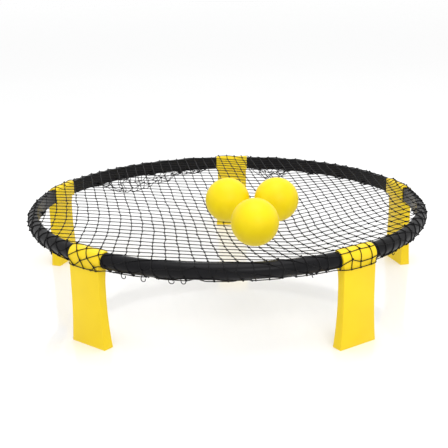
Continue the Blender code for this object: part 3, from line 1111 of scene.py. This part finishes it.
def makeNet():
    knots = relaxLattice()
    cords = CordMesh()
    ties = CordMesh()
    knotShape = makeKnotShape()
    reach = net["reach"]
    radius = net["cordRadius"]
    edgePoints = []

    def layCord(line):
        # one cord through a row of knots, cut at the net's edge
        run = []
        for start, end in zip(line, line[1:]):
            inStart = math.hypot(*start) < edgeLimit(*start)
            inEnd = math.hypot(*end) < edgeLimit(*end)
            if not inStart and not inEnd:
                continue
            low, high = 0.0, 1.0
            if not inEnd:
                high = edgeShare(start, end)
            if not inStart:
                low = 1 - edgeShare(end, start)
            away = max(math.hypot(*start), math.hypot(*end))
            pieces = net["bentPieces"] if away > rim["radius"] - net["bentFrom"] else net["flatPieces"]
            for k in range(pieces):
                share = low + (high - low) * k / pieces
                run.append(between(start, end, share))
            if not inEnd:
                run.append(between(start, end, high))
                edgePoints.append(run[-1])
                cords.add([layNet(*clearOfHook(x, y)) for x, y in run], radius, net["sides"])
                run = []
            if not inStart:
                edgePoints.append(run[0])
        if len(run) > 1:
            cords.add([layNet(*clearOfHook(x, y)) for x, y in run], radius, net["sides"])

    for i in range(-reach, reach + 1):
        layCord([knots[i, j] for j in range(-reach, reach + 1)])
        layCord([knots[j, i] for j in range(-reach, reach + 1)])

    for (i, j), (x, y) in knots.items():
        if math.hypot(x, y) > edgeLimit(x, y) - net["knotMargin"] or abs(i) == reach or abs(j) == reach:
            continue
        here = layNet(x, y, knotLift(x, y))
        ahead = (layNet(*knots[i, j + 1]) - layNet(*knots[i, j - 1])).normalized()
        across = (layNet(*knots[i + 1, j]) - layNet(*knots[i - 1, j])).normalized()
        out = across.cross(ahead).normalized()
        across = ahead.cross(out)
        turn = Matrix((across, ahead, out)).transposed().to_4x4()
        if math.hypot(x, y) < rim["radius"] - net["knotRest"] * rim["tubeRadius"]:
            here.z -= net["knotSunk"]
        spin = Matrix.Rotation(chance.uniform(-net["knotSpin"], net["knotSpin"]), 4, "Z")
        ties.addShape(knotShape, Matrix.Translation(here) @ turn @ spin)

    edgePoints.sort(key=lambda p: math.atan2(p[1], p[0]))
    rope = []
    for start, end in zip(edgePoints, edgePoints[1:] + edgePoints[:1]):
        angle = math.atan2(start[1], start[0])
        gap = (math.atan2(end[1], end[0]) - angle) % math.tau
        count = max(1, round(gap * rim["radius"] / net["edgeStep"]))
        for k in range(count):
            turn = angle + gap * k / count
            limit = edgeLimit(math.cos(turn), math.sin(turn))
            rope.append((limit * math.cos(turn), limit * math.sin(turn)))
    edging = CordMesh()
    edge = rounded([layNet(x, y, net["edgeLift"]) for x, y in rope])
    edging.add(edge, net["edgeRadius"], net["edgeSides"], closed=True)
    for x, y in edgePoints:
        here = layNet(*clearOfHook(x, y), net["edgeLift"])
        ties.addShape(knotShape, Matrix.Translation(here) @ Matrix.Rotation(math.atan2(y, x), 4, "Z"))
    finishPiece(cords.make("net_cords"), materials["cord"], "rim", "net_cord", "net")
    finishPiece(ties.make("net_knots"), materials["cord"], "rim", "net_cord")
    finishPiece(edging.make("net_edge_cord"), materials["cord"], "rim", "net_cord")


makeNet()
print("net made")


# turns are in degrees from leg 1, towards leg 2; the rest is in metres from the tube's centre line
spare = {
    "stretches": [(9.5, 52), (337, 351)],   # spare netting that hangs inside the rim by leg 1
    "cell": 0.0190,
    "rows": 4,
    "start": (-0.0060, -0.0120),
    "rowIn": -0.0050,
    "rowDown": -0.0105,
    "play": 0.0036,
    "sag": 0.0030,
    "sagPlay": (0.2, 1.4),
    "sagPieces": 4,
    "fullness": 0.8,                        # how far the rows hang down, changing from column to column
    "fullnessPlay": 0.35,
    "fullnessLimits": (0.25, 1.25),
    "taper": 2,                             # columns over which the rows open at each end of a stretch
    "shift": 0.4,                           # of a column, for every second row
    "turnPlay": 0.5,
    "ends": [                             # turn, drop, radius of the curl, share of a turn
        (118, 0.006, 0.0030, 1.1), (126, 0.007, 0.0034, 0.9), (154.5, 0.006, 0.0052, 0.55),
        (160.4, 0.006, 0.0050, 0.55), (167.5, 0.004, 0.0056, 0.5), (170.5, 0.004, 0.0046, 0.6),
        (203, 0.006, 0.0020, 0.2), (231, 0.006, 0.0034, 0.5), (245, 0.006, 0.0046, 0.55),
        (40, 0.006, 0.0034, 0.5), (300, 0.006, 0.0036, 0.4),
    ],
    "endSteps": 12,
    "endPlace": (0.0030, -0.0170),
    "endLean": 0.2,
    "endPitch": 2.4,                        # cord radii that a curl moves sideways in one turn
}


def rimPlace(degrees, inward, height):
    # a place from the turn round the rim and from the tube's centre line
    turn = math.radians(degrees) + math.pi / 2
    out = rim["radius"] + inward
    return rimMiddle + Vector((out * math.cos(turn), out * math.sin(turn), height))


def sagging(start, end, drop):
    # points of a cord that hangs between two knots, lowest by that drop at its middle
    points = []
    for k in range(spare["sagPieces"] + 1):
        share = k / spare["sagPieces"]
        points.append(start.lerp(end, share) - Vector((0.0, 0.0, 4 * drop * share * (1 - share))))
    return points


def makeSpareNet():
    cords = CordMesh()
    knotShape = makeKnotShape()
    radius = net["cordRadius"]
    play = spare["play"]
    least, most = spare["fullnessLimits"]
    for first, last in spare["stretches"]:
        columns = round(math.radians(last - first) * rim["radius"] / spare["cell"])
        lattice = {}
        fullness = spare["fullness"]
        for i in range(columns + 1):
            change = chance.uniform(-spare["fullnessPlay"], spare["fullnessPlay"])
            fullness = min(most, max(least, fullness + change))
            ends = min(i, columns - i, spare["taper"]) / spare["taper"]
            for row in range(spare["rows"]):
                inward = spare["start"][0] + row * spare["rowIn"] + chance.gauss(0.0, play)
                down = row * spare["rowDown"] * fullness * ends
                height = spare["start"][1] + down + chance.gauss(0.0, play)
                degrees = first + (last - first) * (i + spare["shift"] * (row % 2)) / columns
                degrees += chance.uniform(-spare["turnPlay"], spare["turnPlay"])
                lattice[i, row] = rimPlace(degrees, min(inward, spare["start"][0]), height)
        for (i, row), here in lattice.items():
            for other in ((i + 1, row), (i, row + 1)):
                if other in lattice:
                    drop = spare["sag"] * chance.uniform(*spare["sagPlay"])
                    cords.add(sagging(here, lattice[other], drop), radius, net["sides"])
            tilt = Matrix.Rotation(chance.uniform(0, math.pi), 4, "X")
            cords.addShape(knotShape, Matrix.Translation(here) @ tilt)
    finishPiece(cords.make("net_spare_netting"), materials["cord"], "rim", "net_cord")


def makeLooseEnds():
    cords = CordMesh()
    for degrees, drop, curl, share in spare["ends"]:
        along = Matrix.Rotation(math.radians(degrees), 3, "Z") @ Vector((-1.0, 0.0, 0.0))
        lean = chance.uniform(-spare["endLean"], spare["endLean"])
        start = rimPlace(degrees, *spare["endPlace"])
        points = [start, start - Vector((0.0, 0.0, drop / 2)) + along * drop * lean]
        bend = start - Vector((0.0, 0.0, drop)) + along * drop * lean * 2
        outward = along.cross(Vector((0.0, 0.0, 1.0)))
        for k in range(spare["endSteps"] + 1):
            angle = math.tau * share * k / spare["endSteps"]
            swing = along * curl * (1 - math.cos(angle)) - Vector((0.0, 0.0, curl * math.sin(angle)))
            points.append(bend + swing + outward * net["cordRadius"] * spare["endPitch"] * angle / math.tau)
        cords.add(points, net["cordRadius"], net["sides"])
    finishPiece(cords.make("net_loose_ends"), materials["cord"], "rim", "net_cord")


makeSpareNet()
makeLooseEnds()
print("spare netting and loose ends made")
